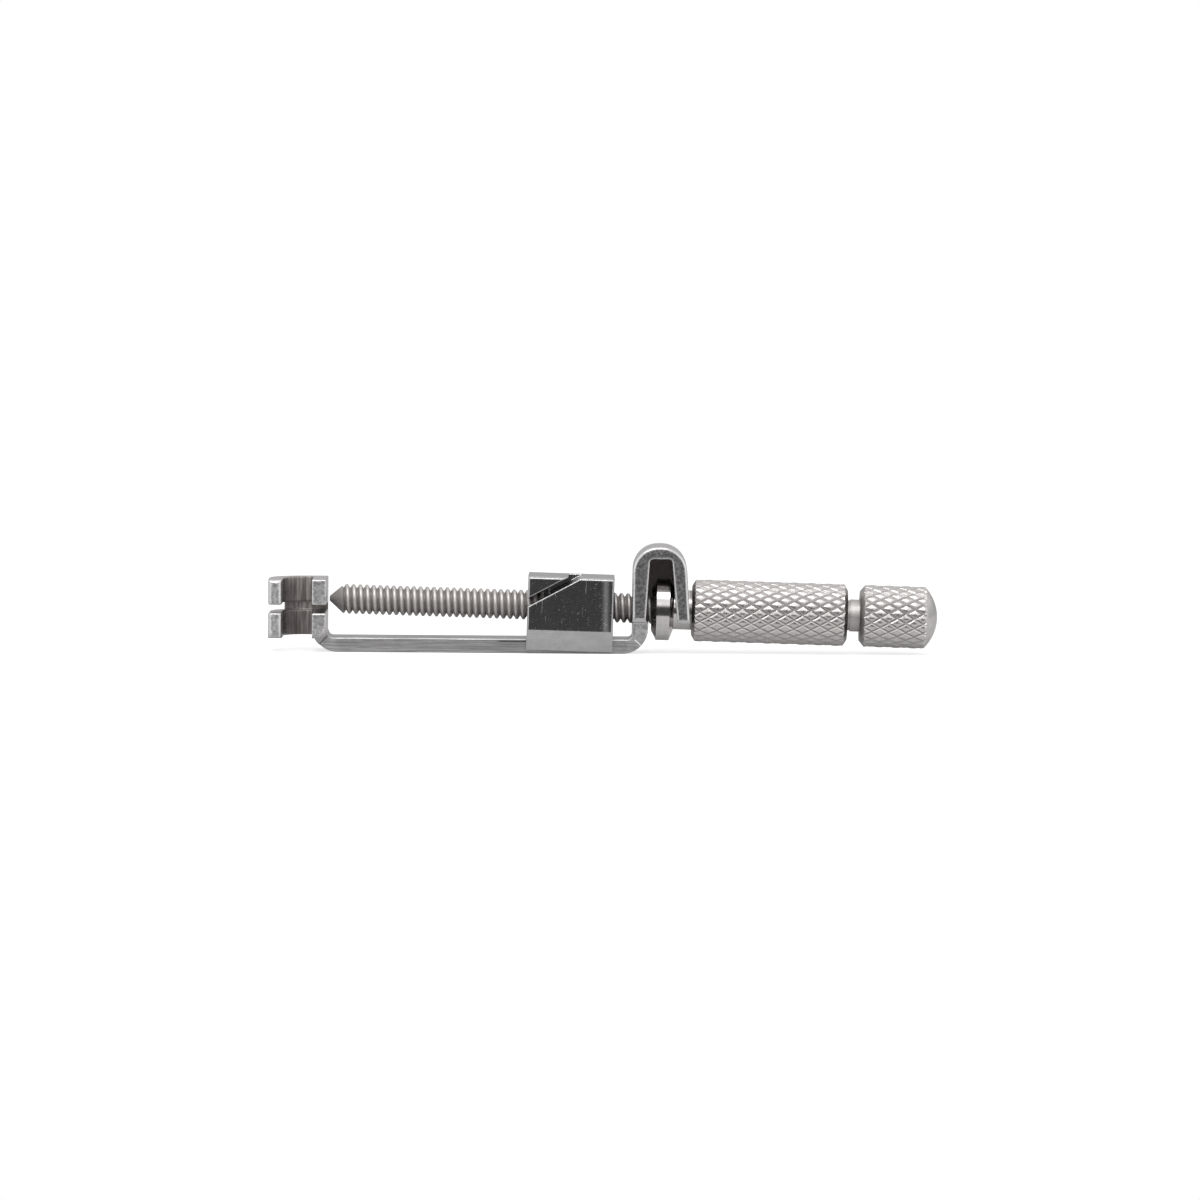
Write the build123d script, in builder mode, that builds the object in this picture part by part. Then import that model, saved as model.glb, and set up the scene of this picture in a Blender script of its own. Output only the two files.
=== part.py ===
"""Retainer for a dental matrix band: a bent strip frame, a sliding vise block and two knobs on a screw.

Sizes are in millimetres. X runs from the slotted head to the knobs, Y runs from the open side of the head to
its back, and Z is up. The origin is on the underside of the flat bar, in the middle of its length and width.
"""

import os
from math import cos, radians, sin, tan

from build123d import *

os.makedirs("parts", exist_ok=True)

# Strip that the frame is bent from
strip_width = 6.96
strip_thickness = 1.3
bar_width = 4.64
bar_thickness = 1.35
bar_length = 26.86
edge_round = 0.16
bow_edge_round = 0.26

# Bends from the bar up into the head and into the bow, measured on the outside and on the inside
head_bend = 2.4
head_bend_inside = 0.6
bow_bend = 2.5
bow_bend_inside = 0.4

# Head: a channel open to the front, slit across for the band
head_floor = 1.34
head_height = 5.53
channel_width = 2.85
head_corner = 3.5
head_front_round = 0.36
slit_width = 0.76
slit_depth = 6.0
slit_bevel = 0.1

# Bow: an arch whose left leg carries the screw's hole and whose right leg is a fork round the knob's neck
bow_height = 10.2
crown_thickness = 1.15
bow_opening = 2.82
left_leg_slope = 0.4
left_leg_inside_slope = 3.8
right_leg_slope = 3.7
right_leg_inside_slope = 5.3
bow_inside_corner = 0.35
leg_thickness = 1.36
fork_thickness = 1.25
bow_back_thickness = 0.44
foot_step = 0.26
shoulder_height = 2.95
shoulder_round = 0.6
head_shoulder_round = 0.95
tine_end = 2.88
tine_round = 0.5

# The screw and its knobs lean in the bow by the looseness of their fits, tip upwards
lean = 1.5

# Screw, with a thicker shank beyond its thread
screw_height = 4.06
screw_diameter = 2.85
shank_diameter = 3.06
shank_gap = 0.24
screw_tip_gap = 0.25
tip_length = 1.38
tip_blunt = 0.45

# Running and clearance fits, on the radius or on the side
bore_clearance = 0.04
press_clearance = 0.02
leg_hole_clearance = 0.33
neck_clearance = 0.14
collar_clearance = 0.05
bar_side_clearance = 0.12

# Vise block on the bar
vise_length = 8.15
vise_to_bow = 1.75
vise_width = 6.72
vise_above_screw = 2.93
vise_below_screw = 4.11
vise_roof_below_screw = 2.66
vise_flat_below_screw = 2.14
vise_skirt_foot = 5.67
vise_top_bevel = 0.2
vise_edge_bevel = 0.12
vise_skirt_round = 0.2
slot_width = 0.66
slot_angle = 29.5
slot_rise = 0.41
slot_back_wall = 1.2
slot_bevel = 0.07

# Adjusting knob, turned in one piece with its neck and collar
knob_diameter = 5.9
collar_diameter = 5.88
collar_length = 2.1
collar_bevel = 0.47
collar_bevel_depth = 0.9
collar_cone = 0.4
neck_diameter = 3.75
barrel_length = 14.75
barrel_gap = 0.14
barrel_bevel = 0.36
barrel_bevel_depth = 0.6

# Locking knob, pressed on the end of the screw
knob_spacing = 1.15
locking_knob_length = 7.4
locking_bevel = 0.5
locking_bevel_depth = 0.6
dome_length = 1.25
dome_round = 0.8
blind_wall = 1.6

# Places that follow from the sizes, along X
wall_left = -bar_length / 2 - head_bend
wall_right = wall_left + strip_thickness
head_left = wall_left - channel_width - strip_thickness
foot_right = bar_length / 2 + bow_bend
slit_height = head_floor + head_height / 2


def left_leg_inside(z):
    """X on the left leg's right face at a height."""
    return foot_right - foot_step + (z - shoulder_height) * tan(radians(left_leg_inside_slope))


def left_leg_outside(z):
    """X on the left leg's left face at a height."""
    return left_leg_inside(screw_height) - leg_thickness + (z - screw_height) * tan(radians(left_leg_slope))


def right_leg_inside(z):
    """X on the right leg's left face at a height."""
    middle = left_leg_inside(screw_height) + bow_opening
    return middle + (screw_height - z) * tan(radians(right_leg_inside_slope))


def right_leg_outside(z):
    """X on the right leg's right face at a height."""
    middle = right_leg_inside(screw_height) + fork_thickness
    return middle + (screw_height - z) * tan(radians(right_leg_slope))


# Leaning line of the screw: it passes the middle of the fork at screw height
bearing_x = (right_leg_inside(screw_height) + right_leg_outside(screw_height)) / 2
along = Vector(cos(radians(lean)), 0, -sin(radians(lean)))
screw_plane = Plane(origin=(bearing_x, 0, screw_height), x_dir=along, z_dir=(0, -1, 0))
screw_axis = Axis(screw_plane.origin, along)


def cross_plane(u):
    """Plane square to the screw at u along it, with its own x across the bar and its own y up."""
    return Plane(origin=screw_plane.from_local_coords((u, 0, 0)), x_dir=(0, 1, 0), z_dir=along)


def on_screw(x):
    """Distance along the screw at which it passes X."""
    return (x - bearing_x) / cos(radians(lean))


def shoulder(plane, side, radius, end, low):
    """What is cut away beside the strip from a round-cornered shoulder downwards, on both of its sides."""
    out = strip_width
    edge = strip_width / 2
    with BuildSketch(plane) as outline:
        with BuildLine():
            flat_start = (edge - radius, end)
            Polyline(flat_start, (side, end), (side, low), (out, low), (out, end + radius), (edge, end + radius))
            CenterArc((edge - radius, end + radius), radius, -90, 90)
        make_face()
        mirror(about=Plane.YZ)
    return outline.sketch


# Frame: one strip, bent up at the left into the head's wall and at the right into the bow
bar_top = bar_thickness
head_top = head_floor + head_height
bow_inside_top = bow_height - crown_thickness
bow_round = 0.485 * (right_leg_outside(bow_height) - left_leg_outside(bow_height))
step_top = shoulder_height + foot_step
corners = [
    ((wall_left, head_top), 0),
    ((wall_left, 0), head_bend),
    ((foot_right, 0), bow_bend),
    ((foot_right, shoulder_height), 0),
    ((left_leg_inside(step_top), step_top), 0),
    ((left_leg_inside(bow_inside_top), bow_inside_top), bow_inside_corner),
    ((right_leg_inside(bow_inside_top), bow_inside_top), bow_inside_corner),
    ((right_leg_inside(tine_end), tine_end), 0),
    ((right_leg_outside(tine_end), tine_end), 0),
    ((right_leg_outside(bow_height), bow_height), bow_round),
    ((left_leg_outside(bow_height), bow_height), bow_round),
    ((left_leg_outside(bar_top), bar_top), bow_bend_inside),
    ((wall_right, bar_top), head_bend_inside),
    ((wall_right, head_top), 0),
]

with BuildPart() as frame:
    # Side view of the bent strip
    with BuildSketch(Plane.XZ) as side_view:
        with BuildLine():
            Polyline(*[point for point, radius in corners], close=True)
        make_face()
        for point, radius in corners:
            if radius:
                fillet(side_view.vertices().sort_by_distance(point)[0], radius)
    extrude(amount=strip_width / 2, both=True)
    bow_middle = (left_leg_inside(screw_height) + right_leg_inside(screw_height)) / 2
    outlines = frame.faces().filter_by(Axis.Y).edges().filter_by(lambda e: e.center().X > foot_right - bow_bend)
    outside = outlines.filter_by(
        lambda e: e.center().Z > bow_inside_top + crown_thickness / 2
        or (e.center().Z > bow_bend and abs(e.center().X - bow_middle) > (bow_opening + fork_thickness) / 2)
    )
    fillet(outside, bow_edge_round)
    inside = frame.edges().filter_by(
        lambda e: abs(e.center().Y + strip_width / 2) < edge_round / 100
        and abs(e.center().X - bow_middle) < (bow_opening + fork_thickness) / 2
        and step_top < e.center().Z < bow_inside_top + edge_round
    )
    fillet(inside, edge_round)

    # The head's back and left wall, bent round from the right wall
    with BuildSketch(Plane.XY.offset(head_floor)) as head_plan:
        with BuildLine():
            Polyline(
                (wall_right, -strip_width / 2),
                (wall_right, strip_width / 2),
                (head_left, strip_width / 2),
                (head_left, -strip_width / 2),
                (head_left + strip_thickness, -strip_width / 2),
                (head_left + strip_thickness, strip_width / 2 - strip_thickness),
                (wall_left, strip_width / 2 - strip_thickness),
                (wall_left, -strip_width / 2),
                close=True,
            )
        make_face()
        back_left = (head_left, strip_width / 2)
        fillet(head_plan.vertices().sort_by_distance(back_left)[0], head_corner)
        inner_left = (head_left + strip_thickness, strip_width / 2 - strip_thickness)
        fillet(head_plan.vertices().sort_by_distance(inner_left)[0], head_corner - strip_thickness)
        inner_right = (wall_left, strip_width / 2 - strip_thickness)
        fillet(head_plan.vertices().sort_by_distance(inner_right)[0], head_bend_inside)
    extrude(amount=head_height)
    front_ends = frame.faces().filter_by(Axis.Y).filter_by(
        lambda f: f.center().X < wall_right and abs(f.center().Y + strip_width / 2) < edge_round
    )
    rims = front_ends.edges().filter_by(lambda e: e.center().Z > head_bend)
    fillet(rims, head_front_round)

    # The slit for the band, sawn in from the front, and out through the rounded corner
    with BuildSketch(Plane.XZ.offset(strip_width / 2 - slit_depth)):
        with Locations(((head_left + wall_right) / 2, slit_height)):
            Rectangle(2 * (wall_right - head_left), slit_width)
    extrude(amount=strip_width, mode=Mode.SUBTRACT)
    with BuildSketch(Plane.XZ):
        with Locations((head_left, slit_height)):
            Rectangle(2 * strip_thickness, slit_width)
    extrude(amount=strip_width, both=True, mode=Mode.SUBTRACT)
    slit_rims = frame.edges().filter_by(
        lambda e: abs(e.center().Y + strip_width / 2) < edge_round / 100
        and abs(abs(e.center().Z - slit_height) - slit_width / 2) < edge_round / 100
    )
    chamfer(slit_rims, slit_bevel)

    # Rounded shoulders where the wide strip narrows to the bar, at the bow's left leg and in the head's bend
    bar_start = wall_right + head_bend_inside
    bar_end = Plane.YZ.offset(bar_start)
    bar_sides = shoulder(bar_end, bar_width / 2, shoulder_round, shoulder_height, -bar_thickness)
    extrude(bar_sides, amount=bow_middle - bar_start, mode=Mode.SUBTRACT)
    bend_centre = (wall_left + head_bend, 0, head_bend)
    bend_plane = Plane(origin=bend_centre, x_dir=(0, 1, 0), z_dir=(1, 0, 1))
    bend_sides = shoulder(bend_plane, bar_width / 2, head_shoulder_round, 0, -2 * head_bend)
    extrude(bend_sides, amount=2 * head_bend, both=True, mode=Mode.SUBTRACT)

    # The right leg: round-cornered tines either side of a notch that the knob's neck drops into
    notch_radius = neck_diameter / 2 + neck_clearance
    tine_sides = shoulder(Plane.YZ.offset(bow_middle), notch_radius, tine_round, tine_end, 0)
    extrude(tine_sides, amount=strip_width, mode=Mode.SUBTRACT)
    with BuildSketch(Plane.YZ.offset(bow_middle)):
        with Locations((0, screw_height)):
            Circle(notch_radius)
        with Locations((0, screw_height / 2)):
            Rectangle(2 * notch_radius, screw_height)
    extrude(amount=strip_width, mode=Mode.SUBTRACT)

    # The hole that the screw passes through in the left leg
    with BuildSketch(Plane.YZ.offset(bow_middle)):
        with Locations((0, screw_height)):
            Circle(screw_diameter / 2 + leg_hole_clearance)
    extrude(amount=-2 * strip_thickness - bow_opening / 2, mode=Mode.SUBTRACT)

    # The bow's closed back, behind the knob's collar
    back_foot = shoulder_height + shoulder_round
    back_top = bow_inside_top + crown_thickness / 2
    with BuildSketch(Plane.XZ.offset(-strip_width / 2)):
        with BuildLine():
            Polyline(
                (left_leg_inside(back_foot) - leg_thickness / 2, back_foot),
                (left_leg_inside(back_top) - leg_thickness / 2, back_top),
                (right_leg_inside(back_top) + fork_thickness / 2, back_top),
                (right_leg_inside(back_foot) + fork_thickness / 2, back_foot),
                close=True,
            )
        make_face()
    extrude(amount=bow_back_thickness)

frame.part.label = "frame"
export_step(frame.part, "parts/frame.step")

# Vise block: a block bored for the screw, channelled below to ride the bar, with the slanting slot for the band
vise_right = on_screw(left_leg_outside(screw_height) - vise_to_bow)
vise_left = vise_right - vise_length
channel_half = bar_width / 2 + bar_side_clearance

with BuildPart() as vise_block:
    # Cross-section: flat sides above, a skirt that leans in below, and the channel for the bar
    with BuildSketch(cross_plane(vise_left)) as section:
        with BuildLine():
            Polyline(
                (0, vise_above_screw),
                (vise_width / 2, vise_above_screw),
                (vise_width / 2, -vise_flat_below_screw),
                (vise_skirt_foot / 2, -vise_below_screw),
                (channel_half, -vise_below_screw),
                (channel_half, -vise_roof_below_screw),
                (0, -vise_roof_below_screw),
                close=True,
            )
        make_face()
        top_corner = (vise_width / 2, vise_above_screw)
        chamfer(section.vertices().sort_by_distance(top_corner)[0], vise_top_bevel)
        foot_corner = (vise_skirt_foot / 2, -vise_below_screw)
        fillet(section.vertices().sort_by_distance(foot_corner)[0], vise_skirt_round)
        mirror(about=Plane.YZ)
    extrude(amount=vise_length)
    end_edges = vise_block.faces().sort_by(Axis(screw_plane.origin, along))
    lower_limit = -vise_roof_below_screw
    front_rims = (end_edges[0].edges() + end_edges[-1].edges()).filter_by(
        lambda e: screw_plane.to_local_coords(e.center()).Y > lower_limit
        and abs(e.center().Y) + vise_top_bevel > vise_width / 2
    )
    chamfer(front_rims, vise_edge_bevel)

    # The threaded bore, at its major diameter
    with BuildSketch(cross_plane(vise_left)):
        Circle(screw_diameter / 2 + bore_clearance)
    extrude(amount=vise_length, mode=Mode.SUBTRACT)

    # The slanting slot, open to the front, to the left end and to the top
    with BuildSketch(screw_plane.offset(slot_back_wall - vise_width / 2)):
        with Locations((vise_left, slot_rise)):
            Rectangle(4 * vise_length, slot_width, rotation=slot_angle)
    extrude(amount=vise_width, mode=Mode.SUBTRACT)
    front_face = vise_block.faces().filter_by(lambda f: abs(f.center().Y + vise_width / 2) < slot_bevel / 100)
    slant = Vector(cos(radians(slot_angle - lean)), 0, sin(radians(slot_angle - lean)))
    slot_rims = front_face.edges().filter_by(lambda e: abs(e.tangent_at(0).dot(slant)) > cos(radians(lean)))
    chamfer(slot_rims, slot_bevel)

vise_block.part.label = "vise_block"
export_step(vise_block.part, "parts/vise_block.step")

# Adjusting knob: a collar inside the bow, a neck in the fork and a long barrel outside, bored right through
neck_radius = neck_diameter / 2
knob_radius = knob_diameter / 2
collar_right = on_screw(right_leg_inside(screw_height + notch_radius)) - collar_clearance
collar_left = collar_right - collar_length
barrel_left = on_screw(right_leg_outside(tine_end)) + barrel_gap
barrel_right = barrel_left + barrel_length
collar_radius = collar_diameter / 2

with BuildPart() as adjusting_knob:
    with BuildSketch(screw_plane):
        with BuildLine():
            Polyline(
                (collar_left, 0),
                (collar_left, collar_radius - collar_bevel_depth),
                (collar_left + collar_bevel, collar_radius),
                (collar_right - collar_cone, collar_radius),
                (collar_right, neck_radius),
                (barrel_left, neck_radius),
                (barrel_left, knob_radius - barrel_bevel_depth),
                (barrel_left + barrel_bevel, knob_radius),
                (barrel_right - barrel_bevel, knob_radius),
                (barrel_right, knob_radius - barrel_bevel_depth),
                (barrel_right, 0),
                close=True,
            )
        make_face()
    revolve(axis=screw_axis)
    with BuildSketch(cross_plane(collar_left)):
        Circle(screw_diameter / 2 + bore_clearance)
    extrude(amount=barrel_right - collar_left, mode=Mode.SUBTRACT)

adjusting_knob.part.label = "adjusting_knob"
export_step(adjusting_knob.part, "parts/adjusting_knob.step")

# Screw: a rod at the thread's outside diameter, turned to a blunt point, with a thicker shank on its right end
screw_left = on_screw(wall_right + screw_tip_gap)
locking_left = barrel_right + knob_spacing
locking_right = locking_left + locking_knob_length
screw_right = locking_right - blind_wall
shank_left = barrel_right + shank_gap
shank_radius = shank_diameter / 2

with BuildPart() as screw:
    with BuildSketch(screw_plane):
        with BuildLine():
            Polyline(
                (screw_left, 0),
                (screw_left, tip_blunt / 2),
                (screw_left + tip_length, screw_diameter / 2),
                (shank_left, screw_diameter / 2),
                (shank_left, shank_radius),
                (screw_right, shank_radius),
                (screw_right, 0),
                close=True,
            )
        make_face()
    revolve(axis=screw_axis)

screw.part.label = "screw"
export_step(screw.part, "parts/screw.step")

# Locking knob: a short knob with a domed end, bored blind and pressed on the screw
with BuildPart() as locking_knob:
    with BuildSketch(screw_plane) as knob_half:
        with BuildLine():
            Polyline(
                (locking_right, 0),
                (locking_left, 0),
                (locking_left, knob_radius - locking_bevel_depth),
                (locking_left + locking_bevel, knob_radius),
                (locking_right - dome_length, knob_radius),
            )
            dome_radius = (knob_radius**2 + dome_length**2) / (2 * dome_length)
            RadiusArc((locking_right - dome_length, knob_radius), (locking_right, 0), dome_radius)
        make_face()
        dome_rim = (locking_right - dome_length, knob_radius)
        fillet(knob_half.vertices().sort_by_distance(dome_rim)[0], dome_round)
    revolve(axis=screw_axis)
    with BuildSketch(cross_plane(locking_left)):
        Circle(shank_radius + press_clearance)
    extrude(amount=screw_right - locking_left + press_clearance, mode=Mode.SUBTRACT)

locking_knob.part.label = "locking_knob"
export_step(locking_knob.part, "parts/locking_knob.step")
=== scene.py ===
from math import asin, cos, pi, radians, sin, sqrt, tau

import bpy
from mathutils import Matrix, Vector


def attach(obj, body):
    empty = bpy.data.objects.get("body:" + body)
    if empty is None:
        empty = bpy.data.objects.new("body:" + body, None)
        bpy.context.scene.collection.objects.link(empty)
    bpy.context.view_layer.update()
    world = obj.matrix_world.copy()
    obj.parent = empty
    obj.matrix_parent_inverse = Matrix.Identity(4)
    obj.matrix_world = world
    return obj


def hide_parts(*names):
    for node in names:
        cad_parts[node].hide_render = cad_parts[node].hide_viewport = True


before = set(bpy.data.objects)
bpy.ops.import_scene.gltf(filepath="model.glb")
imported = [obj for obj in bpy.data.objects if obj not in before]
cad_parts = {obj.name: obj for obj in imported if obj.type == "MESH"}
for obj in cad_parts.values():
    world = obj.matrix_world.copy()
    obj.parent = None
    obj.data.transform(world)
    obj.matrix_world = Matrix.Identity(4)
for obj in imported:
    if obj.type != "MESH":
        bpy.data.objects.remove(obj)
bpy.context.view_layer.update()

# Frame: one strip of stainless steel, about 1.3 mm thick. It is folded into the slotted channel of the
# head, runs along as the bar and is bent up into the bow. It was blanked, bent, slit and tumbled, so its
# broad faces are satin, its cut edges mottled and its rims rounded and bright.


def add_node(tree, kind, inputs=(), **settings):
    """Adds a node of a kind to a tree, with its settings, and with values or links for its inputs."""
    made = tree.nodes.new(kind)
    for name, value in settings.items():
        setattr(made, name, value)
    for name, value in dict(inputs).items():
        if isinstance(value, bpy.types.NodeSocket):
            tree.links.new(value, made.inputs[name])
        else:
            made.inputs[name].default_value = value
    return made


def calculate(tree, operation, first, second):
    """Adds one sum of two values to a tree and returns its result."""
    return add_node(tree, "ShaderNodeMath", {0: first, 1: second}, operation=operation).outputs[0]


def product(tree, first, *others):
    """Adds the product of several masks to a tree and returns its result."""
    for other in others:
        first = calculate(tree, "MULTIPLY", first, other)
    return first


def add_share(tree, value, mask, share):
    """Adds a share of a mask to a value and returns the result."""
    return calculate(tree, "ADD", value, product(tree, mask, share))


def between(tree, value, low, high):
    """Adds a soft step of a value, 0 at the first limit and 1 at the second, and returns its result."""
    limits = {"Value": value, "From Min": low, "From Max": high}
    return add_node(tree, "ShaderNodeMapRange", limits, interpolation_type="SMOOTHSTEP").outputs[0]


def spread(tree, value, least, most):
    """Spreads a value of 0 to 1 over a range in a tree, and returns the result."""
    ends = {"Value": value, "To Min": least, "To Max": most}
    return add_node(tree, "ShaderNodeMapRange", ends).outputs[0]


def blend_colours(tree, share, first, second):
    """Adds a mix of two colours to a tree and returns its result."""
    made = add_node(tree, "ShaderNodeMix", {"Factor": share}, data_type="RGBA")
    for socket, value in ((made.inputs[6], first), (made.inputs[7], second)):
        if isinstance(value, bpy.types.NodeSocket):
            tree.links.new(value, socket)
        else:
            socket.default_value = (*value, 1.0)
    return made.outputs[2]


def new_group(name, inputs, outputs):
    """Starts a shader node group with its named sockets, and returns it with its two ends."""
    group = bpy.data.node_groups.new(name, "ShaderNodeTree")
    for socket, kind, value in inputs:
        group.interface.new_socket(socket, in_out="INPUT", socket_type=kind).default_value = value
    for socket in outputs:
        group.interface.new_socket(socket, in_out="OUTPUT", socket_type="NodeSocketFloat")
    return group, group.nodes.new("NodeGroupInput"), group.nodes.new("NodeGroupOutput")


def new_steel(name, tint):
    """Starts a bare steel material with its grazing tint, and returns it with its tree and shader."""
    steel = bpy.data.materials.new(name)
    steel.use_nodes = True
    shader = steel.node_tree.nodes["Principled BSDF"]
    shader.inputs["Metallic"].default_value = 1.0
    shader.inputs["Specular Tint"].default_value = (*tint, 1.0)
    return steel, steel.node_tree, shader


# What tumbling and handling leave on the steel: cloudy patches, a fine grain and hair scratches
wear, wear_in, wear_out = new_group(
    "tumbled_wear",
    [
        ("Cloud Size", "NodeSocketFloat", 0.0004),
        ("Grain Size", "NodeSocketFloat", 0.00005),
        ("Scratch Size", "NodeSocketFloat", 0.0001),
    ],
    ["Clouds", "Grain", "Scratches"],
)
place = add_node(wear, "ShaderNodeTexCoord").outputs["Object"]
cloud_noise = add_node(
    wear,
    "ShaderNodeTexNoise",
    {
        "Vector": place,
        "Scale": calculate(wear, "DIVIDE", 1.0, wear_in.outputs["Cloud Size"]),
        "Detail": 3.0,
        "Roughness": 0.55,
        "Distortion": 0.4,
    },
)
wear.links.new(between(wear, cloud_noise.outputs["Fac"], 0.3, 0.7), wear_out.inputs["Clouds"])
grain_noise = add_node(
    wear,
    "ShaderNodeTexNoise",
    {
        "Vector": place,
        "Scale": calculate(wear, "DIVIDE", 1.0, wear_in.outputs["Grain Size"]),
        "Detail": 2.0,
        "Roughness": 0.6,
    },
)
wear.links.new(grain_noise.outputs["Fac"], wear_out.inputs["Grain"])
scratched = 0.0
for turn in (0.35, -0.8, 1.3):
    laid = add_node(wear, "ShaderNodeMapping", {"Vector": place, "Rotation": (turn, turn, turn)})
    stretch = {0: laid.outputs[0], 1: (0.03, 1.0, 0.4)}
    thinned = add_node(wear, "ShaderNodeVectorMath", stretch, operation="MULTIPLY")
    hair = add_node(
        wear,
        "ShaderNodeTexNoise",
        {
            "Vector": thinned.outputs[0],
            "Scale": calculate(wear, "DIVIDE", 1.0, wear_in.outputs["Scratch Size"]),
            "Detail": 1.0,
        },
    )
    scratched = calculate(wear, "MAXIMUM", between(wear, hair.outputs["Fac"], 0.7, 0.77), scratched)
wear.links.new(scratched, wear_out.inputs["Scratches"])

# Lines that rolling, brushing or turning leave: noise drawn out to a size along each axis
drawn, drawn_in, drawn_out = new_group(
    "drawn_lines", [("Size", "NodeSocketVector", (0.002, 0.0001, 0.0001))], ["Lines"]
)
place = add_node(drawn, "ShaderNodeTexCoord").outputs["Object"]
sized = add_node(drawn, "ShaderNodeVectorMath", {0: place, 1: drawn_in.outputs["Size"]}, operation="DIVIDE")
line_noise = add_node(
    drawn, "ShaderNodeTexNoise", {"Vector": sized.outputs[0], "Scale": 1.0, "Detail": 3.0, "Roughness": 0.6}
)
drawn.links.new(between(drawn, line_noise.outputs["Fac"], 0.32, 0.68), drawn_out.inputs["Lines"])


def add_marks(tree, cloud_size, grain_size, scratch_size):
    """Adds the marks of wear to a tree, in sizes in metres, and returns them."""
    marks = add_node(tree, "ShaderNodeGroup", node_tree=wear)
    marks.inputs["Cloud Size"].default_value = cloud_size
    marks.inputs["Grain Size"].default_value = grain_size
    marks.inputs["Scratch Size"].default_value = scratch_size
    return marks.outputs


def add_lines(tree, size):
    """Adds drawn lines of a size along each axis to a tree, and returns them."""
    lines = add_node(tree, "ShaderNodeGroup", node_tree=drawn)
    lines.inputs["Size"].default_value = size
    return lines.outputs["Lines"]


def find_spot(tree):
    """Adds the place of a spot on its piece to a tree, and returns its X, Y and Z."""
    place = add_node(tree, "ShaderNodeTexCoord").outputs["Object"]
    return add_node(tree, "ShaderNodeSeparateXYZ", {0: place}).outputs


def find_facing(tree):
    """Adds the way that a surface faces to a tree, and returns its X, Y and Z."""
    geometry = add_node(tree, "ShaderNodeNewGeometry")
    return add_node(tree, "ShaderNodeSeparateXYZ", {0: geometry.outputs["Normal"]}).outputs


def finish_steel(tree, shader, colour, rough, bump):
    """Links a steel's colour, roughness and relief to its shader."""
    tree.links.new(colour, shader.inputs["Base Color"])
    tree.links.new(rough, shader.inputs["Roughness"])
    tree.links.new(bump.outputs[0], shader.inputs["Normal"])


strip_steel, tree, shader = new_steel("strip_steel", (0.72, 0.71, 0.71))
marks = add_marks(tree, 0.00032, 0.00004, 0.00009)
rolled_lines = add_lines(tree, (0.004, 0.00016, 0.00011))
brushed_lines = add_lines(tree, (0.00022, 0.0004, 0.0035))
spot = find_spot(tree)
forward = calculate(tree, "MULTIPLY", find_facing(tree)["Y"], -1.0)

# Where the strip's kinds of surface lie: its cut edges, the insides of head and bow, the bar, and the
# ends of the head and the foot of the bow, which are coloured lighter. Each pair of limits gives
# where a kind begins and where it is full.
square_to_side = (0.86, 0.98)
towards_front = (0.2, 0.7)
behind_middle = (0.0006, 0.0014)
right_of_bar = (0.01, 0.012)
down_on_bar = (0.0021, 0.0013)
left_in_head = (-0.0132, -0.0138)
right_in_bow = (0.0138, 0.0141)
down_in_bow = (0.0031, 0.0029)

cut_face = between(tree, calculate(tree, "ABSOLUTE", forward, 0.0), *square_to_side)
inner_face = product(tree, between(tree, forward, *towards_front), between(tree, spot["Y"], *behind_middle))
in_arch = product(tree, inner_face, between(tree, spot["X"], *right_of_bar))
on_bar = between(tree, spot["Z"], *down_on_bar)
head_end = product(tree, cut_face, between(tree, spot["X"], *left_in_head))
bow_foot = product(
    tree, between(tree, spot["X"], *right_in_bow), between(tree, spot["Z"], *down_in_bow), cut_face
)
lighter_end = calculate(tree, "MAXIMUM", head_end, bow_foot)

satin = blend_colours(tree, marks["Grain"], (0.56, 0.55, 0.55), (0.62, 0.61, 0.61))
mottled = blend_colours(tree, marks["Clouds"], (0.50, 0.49, 0.495), (0.62, 0.61, 0.615))
lighter_clouded = blend_colours(tree, marks["Clouds"], (0.48, 0.47, 0.47), (0.8, 0.79, 0.79))
# On the bar the rolled streaks are real and the darker level of their colour is painted shade.
streaked_and_shaded = blend_colours(tree, rolled_lines, (0.30, 0.295, 0.295), (0.52, 0.51, 0.51))
# The insides of head and bow get painted shade: a dark brushed colour that stands in for the shade in these
# hollows.
brushed_painted_shade = blend_colours(tree, brushed_lines, (0.21, 0.19, 0.185), (0.46, 0.425, 0.415))
colour = blend_colours(tree, cut_face, satin, mottled)
colour = blend_colours(tree, lighter_end, colour, lighter_clouded)
colour = blend_colours(tree, on_bar, colour, streaked_and_shaded)
colour = blend_colours(tree, inner_face, colour, brushed_painted_shade)
# In the bow's arch this painted shade is lifted to a warm grey.
colour = blend_colours(tree, in_arch, colour, (0.6, 0.55, 0.54))

# A painted reflection: a dark line painted in the bar's front edge beside the block, where the block is
# reflected
reflection_line_height = 0.00112
reflection_line_breadth = (0.00009, 0.00004)
reflection_line_left = (0.0014, 0.002)
reflection_line_right = (0.0062, 0.0056)
reflection_line_share = 0.85
from_reflection_line = calculate(tree, "ABSOLUTE", calculate(tree, "SUBTRACT", spot["Z"], reflection_line_height), 0.0)
painted_reflection_line = product(
    tree,
    between(tree, from_reflection_line, *reflection_line_breadth),
    between(tree, spot["X"], *reflection_line_left),
    between(tree, spot["X"], *reflection_line_right),
    cut_face,
)
colour = blend_colours(tree, product(tree, painted_reflection_line, reflection_line_share), colour, (0.05, 0.045, 0.045))

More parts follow.
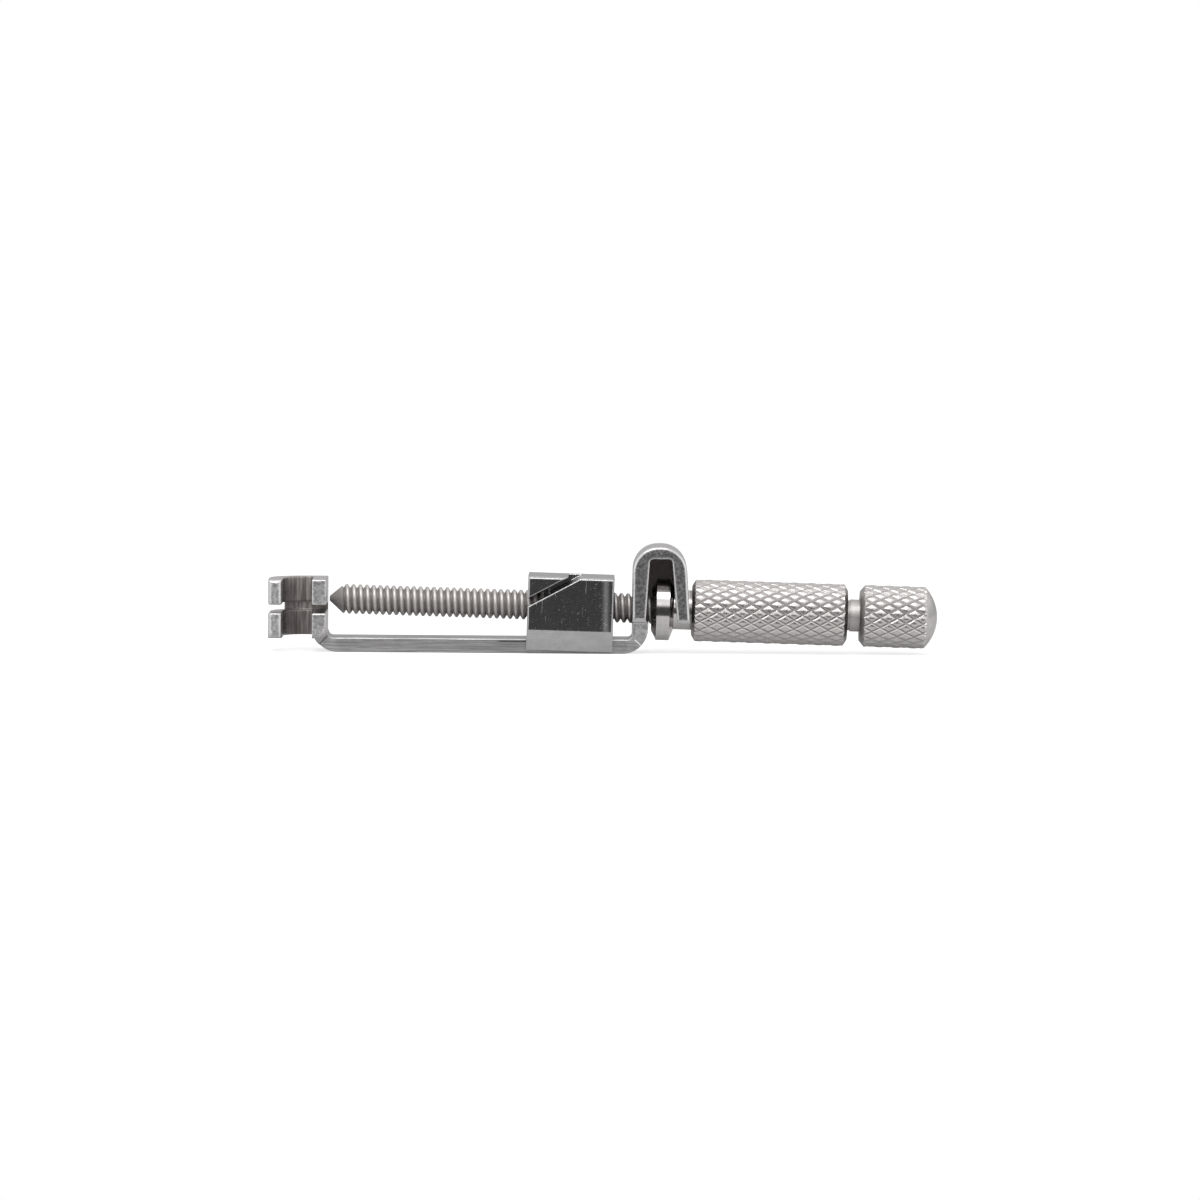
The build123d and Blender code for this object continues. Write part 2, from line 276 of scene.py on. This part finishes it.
# A painted highlight: a bright streak painted slanting across the bend below the bow
highlight_x = 0.01504
highlight_z = 0.001
highlight_slant_x = 0.667
highlight_slant_z = 0.745
highlight_breadth = (0.00007, 0.00003)
highlight_length = (0.0008, 0.0006)
from_highlight_x = calculate(tree, "SUBTRACT", spot["X"], highlight_x)
from_highlight_z = calculate(tree, "SUBTRACT", spot["Z"], highlight_z)
highlight_across = add_share(tree, product(tree, from_highlight_x, highlight_slant_x), from_highlight_z, highlight_slant_z)
highlight_along = calculate(tree, "SUBTRACT", from_highlight_x, from_highlight_z)
painted_bend_highlight = product(
    tree,
    between(tree, calculate(tree, "ABSOLUTE", highlight_across, 0.0), *highlight_breadth),
    between(tree, calculate(tree, "ABSOLUTE", highlight_along, 0.0), *highlight_length),
    cut_face,
)
colour = blend_colours(tree, painted_bend_highlight, colour, (0.92, 0.91, 0.91))

strip_rim = 0.00024
rough = spread(tree, marks["Clouds"], 0.24, 0.32)
for mask, share in ((on_bar, 0.08), (inner_face, 0.22), (lighter_end, 0.1), (in_arch, 0.15), (painted_bend_highlight, 0.3)):
    rough = add_share(tree, rough, mask, share)
height = product(tree, marks["Clouds"], cut_face, 0.5)
height = add_share(tree, height, marks["Grain"], 0.3)
height = add_share(tree, height, product(tree, rolled_lines, on_bar), 0.5)
height = add_share(tree, height, marks["Scratches"], -0.25)
rims = add_node(tree, "ShaderNodeBevel", {"Radius": strip_rim}, samples=8).outputs[0]
relief = {"Height": height, "Strength": 0.3, "Distance": 0.000008, "Normal": rims}
finish_steel(tree, shader, colour, rough, add_node(tree, "ShaderNodeBump", relief))
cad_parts["frame"].data.materials.clear()
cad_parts["frame"].data.materials.append(strip_steel)

# Vise block: milled from one piece of stainless steel, bored and threaded for the screw, channelled to
# ride the bar and slotted for the band's ends. Its faces are polished and show fine handling scratches.

vise_rim = 0.00013
rolled_edge = (0.0125, 0.0113)
facing_front = (-0.9, -0.98)
roll_depth = 0.00012

vise_steel, tree, shader = new_steel("vise_steel", (0.62, 0.62, 0.62))
marks = add_marks(tree, 0.0009, 0.00003, 0.00007)
ground_lines = add_lines(tree, (0.005, 0.0002, 0.00012))
colour = blend_colours(tree, marks["Clouds"], (0.47, 0.465, 0.47), (0.53, 0.525, 0.53))
colour = blend_colours(tree, product(tree, marks["Scratches"], 0.5), colour, (0.72, 0.72, 0.72))
colour = blend_colours(tree, product(tree, ground_lines, 0.2), colour, (0.4, 0.395, 0.4))
rough = spread(tree, marks["Grain"], 0.13, 0.21)
rough = add_share(tree, rough, marks["Scratches"], 0.2)
height = calculate(tree, "SUBTRACT", product(tree, ground_lines, 0.3), marks["Scratches"])
rims = add_node(tree, "ShaderNodeBevel", {"Radius": vise_rim}, samples=8).outputs[0]

# Polishing has rolled the front face off towards its right edge, where a soft upright light band shows
rolled_off = product(
    tree,
    between(tree, find_spot(tree)["X"], *rolled_edge),
    between(tree, find_facing(tree)["Y"], *facing_front),
)
roll = {"Height": rolled_off, "Strength": 1.0, "Distance": roll_depth, "Normal": rims}
rolled_face = add_node(tree, "ShaderNodeBump", roll).outputs[0]
relief = {"Height": height, "Strength": 0.1, "Distance": 0.000003, "Normal": rolled_face}
finish_steel(tree, shader, colour, rough, add_node(tree, "ShaderNodeBump", relief))
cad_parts["vise_block"].data.materials.clear()
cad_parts["vise_block"].data.materials.append(vise_steel)

# Screw: a stainless steel rod with a cut 60 degree thread, 40 turns to the inch, turned to a blunt point.
# It runs through the adjusting knob, the bow and the vise block, and leans 1.5 degrees in them. Between
# the knobs it is a plain, thicker shank.

lean = radians(1.5)
bearing = Vector((0.0191887, 0.0, 0.00406))
thread_pitch = 0.635e-3
thread_radius = 1.42e-3
root_radius = 1.05e-3
screw_left = -33.48e-3
thread_right = 15.2e-3
shank_left = 15.84e-3
shank_radius = 1.525e-3
screw_right = 22.53e-3
point_length = 1.38e-3
point_radius = 0.225e-3
blank_radius = thread_radius + 0.02e-3


def only(*objects):
    """Leaves object mode's selection on these objects alone, the first of them active."""
    if bpy.context.object and bpy.context.object.mode != "OBJECT":
        bpy.ops.object.mode_set(mode="OBJECT")
    bpy.ops.object.select_all(action="DESELECT")
    for piece in objects:
        piece.select_set(True)
    bpy.context.view_layer.objects.active = objects[0]


def start_turning(name, x, radius, sides):
    """Adds a ring of points round the X axis and leaves it selected in edit mode."""
    bpy.ops.object.select_all(action="DESELECT")
    bpy.ops.mesh.primitive_circle_add(
        vertices=sides, radius=radius, location=(x, 0, 0), rotation=(0, pi / 2, 0)
    )
    ring = bpy.context.object
    ring.name = name
    bpy.ops.object.transform_apply()
    bpy.ops.object.mode_set(mode="EDIT")
    bpy.ops.mesh.select_mode(type="VERT")
    bpy.ops.mesh.select_all(action="SELECT")
    return ring


def extrude_ring(x, radius, next_x, next_radius):
    """Extrudes the selected ring along X and resizes it round the axis."""
    bpy.ops.mesh.extrude_region_move(TRANSFORM_OT_translate={"value": (next_x - x, 0, 0)})
    size = next_radius / radius
    bpy.ops.transform.resize(value=(1, size, size), center_override=(next_x, 0, 0))


def turned_rod(name, outline, sides):
    """Turns a solid rod from (place along X, radius) points, closed flat at both its ends."""
    rod = start_turning(name, *outline[0], sides)
    bpy.ops.mesh.edge_face_add()
    for step, next_step in zip(outline, outline[1:]):
        extrude_ring(*step, *next_step)
    bpy.ops.mesh.select_all(action="SELECT")
    bpy.ops.mesh.normals_make_consistent(inside=False)
    bpy.ops.object.mode_set(mode="OBJECT")
    return rod


def turned_sleeve(name, outline, sides):
    """Turns a hollow piece from a closed outline of (place along X, radius) points."""
    piece = start_turning(name, *outline[0], sides)
    for step, next_step in zip(outline, outline[1:] + outline[:1]):
        extrude_ring(*step, *next_step)
    bpy.ops.mesh.select_all(action="SELECT")
    bpy.ops.mesh.remove_doubles(threshold=2e-6)
    bpy.ops.mesh.normals_make_consistent(inside=False)
    bpy.ops.object.mode_set(mode="OBJECT")
    return piece


def cut_end(piece, x, side):
    """Cuts a piece square to X, throws away what lies beyond on that side, and closes the cut."""
    only(piece)
    bpy.ops.object.mode_set(mode="EDIT")
    bpy.ops.mesh.select_all(action="SELECT")
    bpy.ops.mesh.bisect(
        plane_co=(x, 0, 0), plane_no=(side, 0, 0), use_fill=True, clear_outer=True, threshold=1e-8
    )
    bpy.ops.object.mode_set(mode="OBJECT")


def combine(piece, other, operation):
    """Keeps what two solids have in common, or makes them one, and takes the second away."""
    only(piece)
    step = piece.modifiers.new("step", "BOOLEAN")
    step.operation = operation
    step.solver = "EXACT"
    step.object = other
    bpy.ops.object.modifier_apply(modifier=step.name)
    only(other)
    bpy.ops.object.delete()
    only(piece)


def lay_on_screw(piece, smooth_angle):
    """Shades a piece modelled on the X axis, and lays it on the screw's leaning line."""
    only(piece)
    bpy.ops.object.mode_set(mode="EDIT")
    bpy.ops.mesh.select_all(action="SELECT")
    bpy.ops.mesh.remove_doubles(threshold=1e-6)
    bpy.ops.mesh.normals_make_consistent(inside=False)
    bpy.ops.object.mode_set(mode="OBJECT")
    piece.rotation_euler = (0, lean, 0)
    piece.location = bearing
    bpy.ops.object.transform_apply()
    bpy.ops.object.shade_smooth_by_angle(angle=smooth_angle)


# One turn's profile, root to crest to root, drawn point by point and then run along the axis
bpy.ops.object.select_all(action="DESELECT")
bpy.ops.mesh.primitive_plane_add(
    size=thread_pitch / 4, location=(screw_left - 2 * thread_pitch, 0, root_radius)
)
screw_thread = bpy.context.object
screw_thread.name = "screw_thread"
bpy.ops.object.transform_apply()
bpy.ops.object.mode_set(mode="EDIT")
bpy.ops.mesh.select_mode(type="VERT")
bpy.ops.mesh.select_all(action="SELECT")
bpy.ops.mesh.merge(type="CENTER")
thread_depth = thread_radius - root_radius
to_crest = [(0.03, 0.0), (0.24, 0.72), (0.11, 0.24), (0.08, 0.04), (0.12, 0.0)]
to_root = [(0.08, -0.04), (0.11, -0.24), (0.23, -0.72)]
for share, climb in to_crest + to_root:
    bpy.ops.mesh.extrude_vertices_move(
        TRANSFORM_OT_translate={"value": (share * thread_pitch, 0, climb * thread_depth)}
    )
bpy.ops.object.mode_set(mode="OBJECT")
winding = screw_thread.modifiers.new("winding", "SCREW")
winding.axis = "X"
winding.steps = 40
winding.render_steps = 40
winding.screw_offset = thread_pitch
winding.iterations = int((thread_right - screw_left) / thread_pitch) + 5
winding.use_merge_vertices = True
winding.merge_threshold = 1e-7
bpy.ops.object.modifier_apply(modifier=winding.name)
bpy.ops.object.mode_set(mode="EDIT")
bpy.ops.mesh.select_all(action="SELECT")
bpy.ops.mesh.remove_doubles(threshold=2e-6)
bpy.ops.object.mode_set(mode="OBJECT")
cut_end(screw_thread, screw_left - thread_pitch / 3, -1)
cut_end(screw_thread, thread_right, 1)
bpy.ops.object.mode_set(mode="EDIT")
bpy.ops.mesh.select_all(action="SELECT")
bpy.ops.mesh.normals_make_consistent(inside=False)
bpy.ops.object.mode_set(mode="OBJECT")
screw_blank = turned_rod(
    "screw_blank",
    [
        (screw_left, point_radius),
        (screw_left + point_length, blank_radius),
        (thread_right + 1e-3, blank_radius),
    ],
    64,
)
combine(screw_thread, screw_blank, "INTERSECT")
screw_shank = turned_rod(
    "screw_shank",
    [
        (thread_right - 0.2e-3, root_radius),
        (thread_right + 0.1e-3, thread_radius),
        (shank_left, thread_radius),
        (shank_left, shank_radius),
        (screw_right, shank_radius),
    ],
    64,
)
combine(screw_thread, screw_shank, "UNION")
lay_on_screw(screw_thread, radians(32))

# How far a spot lies inside the crests of a thread or a knurl, measured from the screw's leaning line
hollows, hollows_in, hollows_out = new_group(
    "depth_from_crest",
    [("Crest Radius", "NodeSocketFloat", 0.0014), ("Root Radius", "NodeSocketFloat", 0.001)],
    ["Depth"],
)
place = add_node(hollows, "ShaderNodeTexCoord").outputs["Object"]
offset = add_node(hollows, "ShaderNodeVectorMath", {0: place, 1: tuple(bearing)}, operation="SUBTRACT")
square_up = {0: offset.outputs[0], 1: (sin(lean), 0.0, cos(lean))}
upward = add_node(hollows, "ShaderNodeVectorMath", square_up, operation="DOT_PRODUCT")
sideways = add_node(hollows, "ShaderNodeSeparateXYZ", {0: offset.outputs[0]})
across = add_node(hollows, "ShaderNodeCombineXYZ", {"Y": sideways.outputs["Y"], "Z": upward.outputs["Value"]})
reach = add_node(hollows, "ShaderNodeVectorMath", {0: across.outputs[0]}, operation="LENGTH")
below = add_node(
    hollows,
    "ShaderNodeMapRange",
    {
        "Value": reach.outputs["Value"],
        "From Min": hollows_in.outputs["Crest Radius"],
        "From Max": hollows_in.outputs["Root Radius"],
    },
)
hollows.links.new(below.outputs[0], hollows_out.inputs["Depth"])


def find_depth(tree, crest_radius, root_radius):
    """Adds the depth of a spot between crest and root to a tree, 0 to 1, and returns it."""
    inside = add_node(tree, "ShaderNodeGroup", node_tree=hollows)
    inside.inputs["Crest Radius"].default_value = crest_radius
    inside.inputs["Root Radius"].default_value = root_radius
    return inside.outputs["Depth"]


screw_steel, tree, shader = new_steel("screw_steel", (0.7, 0.69, 0.69))
marks = add_marks(tree, 0.00025, 0.00003, 0.00008)
turning_lines = add_lines(tree, (0.00005, 0.003, 0.003))
bright = blend_colours(tree, marks["Clouds"], (0.52, 0.5, 0.49), (0.62, 0.6, 0.59))
bright = blend_colours(tree, product(tree, turning_lines, 0.35), bright, (0.5, 0.48, 0.47))
# The thread's roots are painted darker: painted shade in the hollows of the thread.
colour = blend_colours(tree, find_depth(tree, thread_radius, root_radius), bright, (0.44, 0.42, 0.41))
rough = spread(tree, marks["Grain"], 0.46, 0.58)
height = add_share(tree, turning_lines, marks["Clouds"], 0.4)
relief = {"Height": height, "Strength": 0.4, "Distance": 0.000006}
finish_steel(tree, shader, colour, rough, add_node(tree, "ShaderNodeBump", relief))
screw_thread.data.materials.clear()
screw_thread.data.materials.append(screw_steel)
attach(screw_thread, "screw")
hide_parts("screw")

# Adjusting knob: collar, neck and long barrel turned from one bar of stainless steel, threaded on the
# screw. The barrel is rolled with a 30 degree diamond knurl before its ends are chamfered.

knob_radius = 2.95e-3
knurl_starts = 19
knurl_depth = 0.17e-3
diamond_length = 1.62e-3
collar_radius = 2.94e-3
collar_left = -2.962e-3
collar_right = -0.862e-3
neck_radius = 1.875e-3
bore_radius = 1.465e-3
barrel_left = 0.8416e-3
barrel_right = 15.5915e-3
chamfer_length = 0.36e-3
chamfer_radius = knob_radius - 0.6e-3
collar_side = (0.0199, 0.0197)
dome_side = (0.0419, 0.0422)


def knurled_bar(name, left, right):
    """Models one raised diamond, spreads it over a sheet, and bends the sheet round the X axis as a bar."""
    groove_radius = knob_radius - knurl_depth
    diamond_height = tau * groove_radius / knurl_starts
    bpy.ops.object.select_all(action="DESELECT")
    bpy.ops.mesh.primitive_plane_add(size=sqrt(2), rotation=(pi / 2, 0, 0))
    sheet = bpy.context.object
    sheet.name = name
    bpy.ops.object.transform_apply()
    bpy.ops.object.mode_set(mode="EDIT")
    bpy.ops.mesh.select_all(action="SELECT")
    bpy.ops.transform.rotate(value=pi / 4, orient_axis="Y", center_override=(0, 0, 0))
    bpy.ops.transform.resize(value=(diamond_length / 2, 1, diamond_height / 2), center_override=(0, 0, 0))
    for inset, climb in ((0.035e-3, 0.1), (0.09e-3, 0.5), (0.13e-3, 0.28)):
        bpy.ops.mesh.inset(thickness=inset)
        bpy.ops.transform.translate(value=(0, -knurl_depth * climb, 0))
    bpy.ops.mesh.poke(offset=knurl_depth * 0.12)
    bpy.ops.mesh.select_all(action="SELECT")
    bpy.ops.mesh.duplicate_move(
        TRANSFORM_OT_translate={"value": (diamond_length / 2, 0, diamond_height / 2)}
    )
    bpy.ops.object.mode_set(mode="OBJECT")
    rows = (
        ("along", (diamond_length, 0, 0), int((right - left) / diamond_length) + 3),
        ("around", (0, 0, diamond_height), knurl_starts),
    )
    for row_name, spacing, count in rows:
        row = sheet.modifiers.new(row_name, "ARRAY")
        row.use_relative_offset = False
        row.use_constant_offset = True
        row.constant_offset_displace = spacing
        row.count = count
        bpy.ops.object.modifier_apply(modifier=row.name)
    bpy.ops.object.mode_set(mode="EDIT")
    bpy.ops.mesh.select_all(action="SELECT")
    bpy.ops.mesh.remove_doubles(threshold=2e-6)
    bpy.ops.object.mode_set(mode="OBJECT")
    bend = sheet.modifiers.new("bend", "SIMPLE_DEFORM")
    bend.deform_method = "BEND"
    bend.deform_axis = "X"
    bend.angle = tau * (knurl_starts + 0.5) / knurl_starts
    bpy.ops.object.modifier_apply(modifier=bend.name)
    bpy.ops.object.mode_set(mode="EDIT")
    bpy.ops.mesh.select_all(action="SELECT")
    bpy.ops.mesh.remove_doubles(threshold=4e-6)
    bpy.ops.transform.translate(value=(left - diamond_length, -groove_radius, 0))
    bpy.ops.object.mode_set(mode="OBJECT")
    cut_end(sheet, left, -1)
    cut_end(sheet, right, 1)
    bpy.ops.object.mode_set(mode="EDIT")
    bpy.ops.mesh.select_all(action="SELECT")
    bpy.ops.mesh.normals_make_consistent(inside=False)
    bpy.ops.object.mode_set(mode="OBJECT")
    return sheet


adjusting_knob = turned_sleeve(
    "adjusting_knob_body",
    [
        (collar_left, bore_radius),
        (collar_left, collar_radius - 0.9e-3),
        (collar_left + 0.47e-3, collar_radius),
        (collar_right - 0.4e-3, collar_radius),
        (collar_right, neck_radius),
        (barrel_left, neck_radius),
        (barrel_left, chamfer_radius),
        (barrel_left + chamfer_length, knob_radius),
        (barrel_right - chamfer_length, knob_radius),
        (barrel_right, chamfer_radius),
        (barrel_right, bore_radius),
    ],
    128,
)
knurl = knurled_bar("knurl_stock", barrel_left - 0.04e-3, barrel_right + 0.5e-3)

# Ahead of the barrel the stock is left thicker than the collar, so that the collar stays plain
bpy.ops.object.mode_set(mode="EDIT")
bpy.ops.mesh.select_mode(type="FACE")
bpy.ops.mesh.select_all(action="DESELECT")
bpy.ops.object.mode_set(mode="OBJECT")
for face in knurl.data.polygons:
    face.select = face.normal.x < -0.99 and face.center.x < barrel_left
bpy.ops.object.mode_set(mode="EDIT")
bpy.ops.mesh.extrude_region_move(TRANSFORM_OT_translate={"value": (0, 0, 0)})
bpy.ops.transform.resize(value=(1, 1.2, 1.2), center_override=(barrel_left, 0, 0))
past_collar = collar_left - barrel_left - 1e-3
bpy.ops.mesh.extrude_region_move(TRANSFORM_OT_translate={"value": (past_collar, 0, 0)})
bpy.ops.mesh.select_all(action="SELECT")
bpy.ops.mesh.normals_make_consistent(inside=False)
bpy.ops.object.mode_set(mode="OBJECT")
combine(adjusting_knob, knurl, "INTERSECT")
lay_on_screw(adjusting_knob, radians(24))


def blend_values(tree, share, first, second):
    """Adds a mix of two values to a tree and returns its result."""
    ends = {"Factor": share, "A": first, "B": second}
    return add_node(tree, "ShaderNodeMix", ends, data_type="FLOAT").outputs[0]


knob_steel, tree, shader = new_steel("knob_steel", (0.75, 0.74, 0.74))
marks = add_marks(tree, 0.0005, 0.00004, 0.00008)
turning_lines = add_lines(tree, (0.00009, 0.004, 0.004))
knurl_hollow = find_depth(tree, knob_radius - 0.1 * knurl_depth, knob_radius - knurl_depth)

# The collar and the neck at one end, and the dome at the other, are turned smooth and get no painted shade
along = find_spot(tree)["X"]
plain_end = calculate(tree, "ADD", between(tree, along, *collar_side), between(tree, along, *dome_side))
bright = blend_colours(tree, marks["Clouds"], (0.60, 0.58, 0.575), (0.70, 0.68, 0.67))
bright = blend_colours(tree, product(tree, turning_lines, 0.3), bright, (0.52, 0.5, 0.49))
# The knurl's grooves are painted darker: painted shade in the hollows of the knurl.
painted_groove_shade = product(tree, knurl_hollow, calculate(tree, "SUBTRACT", 0.75, plain_end))
colour = blend_colours(tree, painted_groove_shade, bright, (0.28, 0.265, 0.26))
rough = spread(tree, marks["Grain"], 0.22, 0.34)
rough = blend_values(tree, plain_end, rough, 0.13)
height = add_share(tree, turning_lines, marks["Grain"], 0.4)
relief = {"Height": height, "Strength": 0.4, "Distance": 0.000006}
finish_steel(tree, shader, colour, rough, add_node(tree, "ShaderNodeBump", relief))
adjusting_knob.data.materials.clear()
adjusting_knob.data.materials.append(knob_steel)
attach(adjusting_knob, "adjusting_knob")
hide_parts("adjusting_knob")

# Locking knob: the same knurled bar, cut short, bored blind and pressed on the screw's end. Its left
# end is chamfered and its right end turned to a low dome, both after knurling.

locking_left = 16.7415e-3
locking_right = 24.139e-3
dome_length = 1.25e-3
blind_right = 22.56e-3
blind_radius = 1.55e-3
dome_sphere = (knob_radius**2 + dome_length**2) / (2 * dome_length)
outline = [
    (blind_right, 0.05e-3),
    (blind_right, blind_radius),
    (locking_left, blind_radius),
    (locking_left, chamfer_radius),
    (locking_left + 0.5e-3, knob_radius),
]
for share in (0.0, 0.06, 0.14, 0.25, 0.4, 0.55, 0.7, 0.85, 0.97):
    angle = asin(knob_radius / dome_sphere) * (1 - share)
    outline.append((locking_right - dome_sphere + dome_sphere * cos(angle), dome_sphere * sin(angle)))
locking_knob = turned_rod("locking_knob_body", outline, 128)
knurl = knurled_bar("knurl_stock", locking_left - 0.5e-3, locking_right + 0.5e-3)
combine(locking_knob, knurl, "INTERSECT")
lay_on_screw(locking_knob, radians(24))
locking_knob.data.materials.clear()
locking_knob.data.materials.append(knob_steel)
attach(locking_knob, "locking_knob")
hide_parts("locking_knob")

# Table, light and camera: a pale photo table in a white sweep, white screens at both sides and above, and
# the open dark place that the camera stands in, which the flat faces of the steel show.

table_length = 0.34
table_width = 0.17
glow_to_camera = 0.7
glow_to_metal = 0.25

bpy.ops.object.select_all(action="DESELECT")
bpy.ops.mesh.primitive_plane_add(size=1.0, location=(0.012, 0.073, -0.00001))
table = bpy.context.object
table.name = "photo_table"
table.scale = (table_length, table_width, 1)
bpy.ops.object.transform_apply()
table_white = bpy.data.materials.new("table_white")
table_white.use_nodes = True
tree = table_white.node_tree
shader = tree.nodes["Principled BSDF"]
shader.inputs["Base Color"].default_value = (0.4, 0.4, 0.4, 1)
shader.inputs["Roughness"].default_value = 0.9
shader.inputs["Specular IOR Level"].default_value = 0.0
rays = add_node(tree, "ShaderNodeLightPath")
seen_in_metal = calculate(tree, "MAXIMUM", rays.outputs["Is Glossy Ray"], rays.outputs["Is Transmission Ray"])
seen_by_camera = product(tree, rays.outputs["Is Camera Ray"], glow_to_camera)
glow_level = add_share(tree, seen_by_camera, seen_in_metal, glow_to_metal)
glow = add_node(tree, "ShaderNodeEmission", {"Strength": glow_level})
both = add_node(tree, "ShaderNodeAddShader", {0: shader.outputs[0], 1: glow.outputs[0]})
tree.links.new(both.outputs[0], tree.nodes["Material Output"].inputs["Surface"])
table.data.materials.append(table_white)

# Brightness of the surroundings by height, from straight down at -1 to straight up at 1
front_levels = [(-1.0, 0.35), (-0.5, 0.42), (-0.2, 0.7), (0.0, 1.3), (0.25, 1.4), (0.6, 1.15), (1.0, 0.95)]
back_levels = [(-1.0, 0.5), (0.0, 0.6), (0.1, 0.62), (0.35, 0.9), (1.0, 0.95)]
dark_level = 0.06
highest_level = 2.0
camera_side = (0.0, -0.9979, -0.0645)

studio = bpy.data.worlds.new("studio")
bpy.context.scene.world = studio
studio.use_nodes = True
tree = studio.node_tree
background = tree.nodes["Background"]
direction = add_node(tree, "ShaderNodeTexCoord").outputs["Generated"]
heading = add_node(tree, "ShaderNodeSeparateXYZ", {0: direction})
down_to_up = {"Value": heading.outputs["Z"], "From Min": -1.0, "From Max": 1.0}
climb = add_node(tree, "ShaderNodeMapRange", down_to_up)
sides = []
for levels in (front_levels, back_levels):
    scale = add_node(tree, "ShaderNodeValToRGB", {"Fac": climb.outputs[0]})
    while len(scale.color_ramp.elements) < len(levels):
        scale.color_ramp.elements.new(0.5)
    for stop, (steepness, level) in zip(scale.color_ramp.elements, levels):
        grey = level / highest_level
        stop.position = (steepness + 1) / 2
        stop.color = (grey, grey, grey, 1)
    sides.append(calculate(tree, "MULTIPLY", scale.outputs["Color"], highest_level))
behind = between(tree, heading.outputs["Y"], -0.15, 0.35)
around = blend_values(tree, behind, *sides)
nearness = add_node(tree, "ShaderNodeVectorMath", {0: direction, 1: camera_side}, operation="DOT_PRODUCT")
dark_place = between(tree, nearness.outputs["Value"], 0.9, 0.975)
surroundings = blend_values(tree, dark_place, around, dark_level)
rays = add_node(tree, "ShaderNodeLightPath")
backdrop = blend_values(tree, rays.outputs["Is Camera Ray"], surroundings, 1.0)
tree.links.new(backdrop, background.inputs["Strength"])
background.inputs["Color"].default_value = (1, 1, 1, 1)

bpy.ops.object.light_add(type="AREA", location=(-0.03, -0.16, 0.26))
key = bpy.context.object
key.name = "soft_key"
key.data.shape = "RECTANGLE"
key.data.size = 0.22
key.data.size_y = 0.12
key.data.energy = 0.35
lit_place = Vector((0.012, 0, 0.004))
key.rotation_euler = (lit_place - key.location).to_track_quat("-Z", "Y").to_euler()

# Long lens, level with the photo: 3.7 degrees above the bar and turned 0.4 degrees in the picture
photo_width = 0.11376
distance = 0.7
rise = radians(3.7)
roll = radians(0.4)
aim = Vector((0.01134, 0.0, 0.00494))
bpy.ops.object.camera_add()
camera = bpy.context.object
camera.data.sensor_width = 36.0
camera.data.lens = 36.0 * distance / photo_width
camera.location = aim + distance * Vector((0, -cos(rise), sin(rise)))
turned_view = Matrix.Rotation(pi / 2 - rise, 3, "X") @ Matrix.Rotation(roll, 3, "Z")
camera.rotation_euler = turned_view.to_euler()
camera.data.clip_start = 0.05
camera.data.clip_end = 20.0
bpy.context.scene.camera = camera
bpy.context.scene.view_settings.view_transform = "Standard"
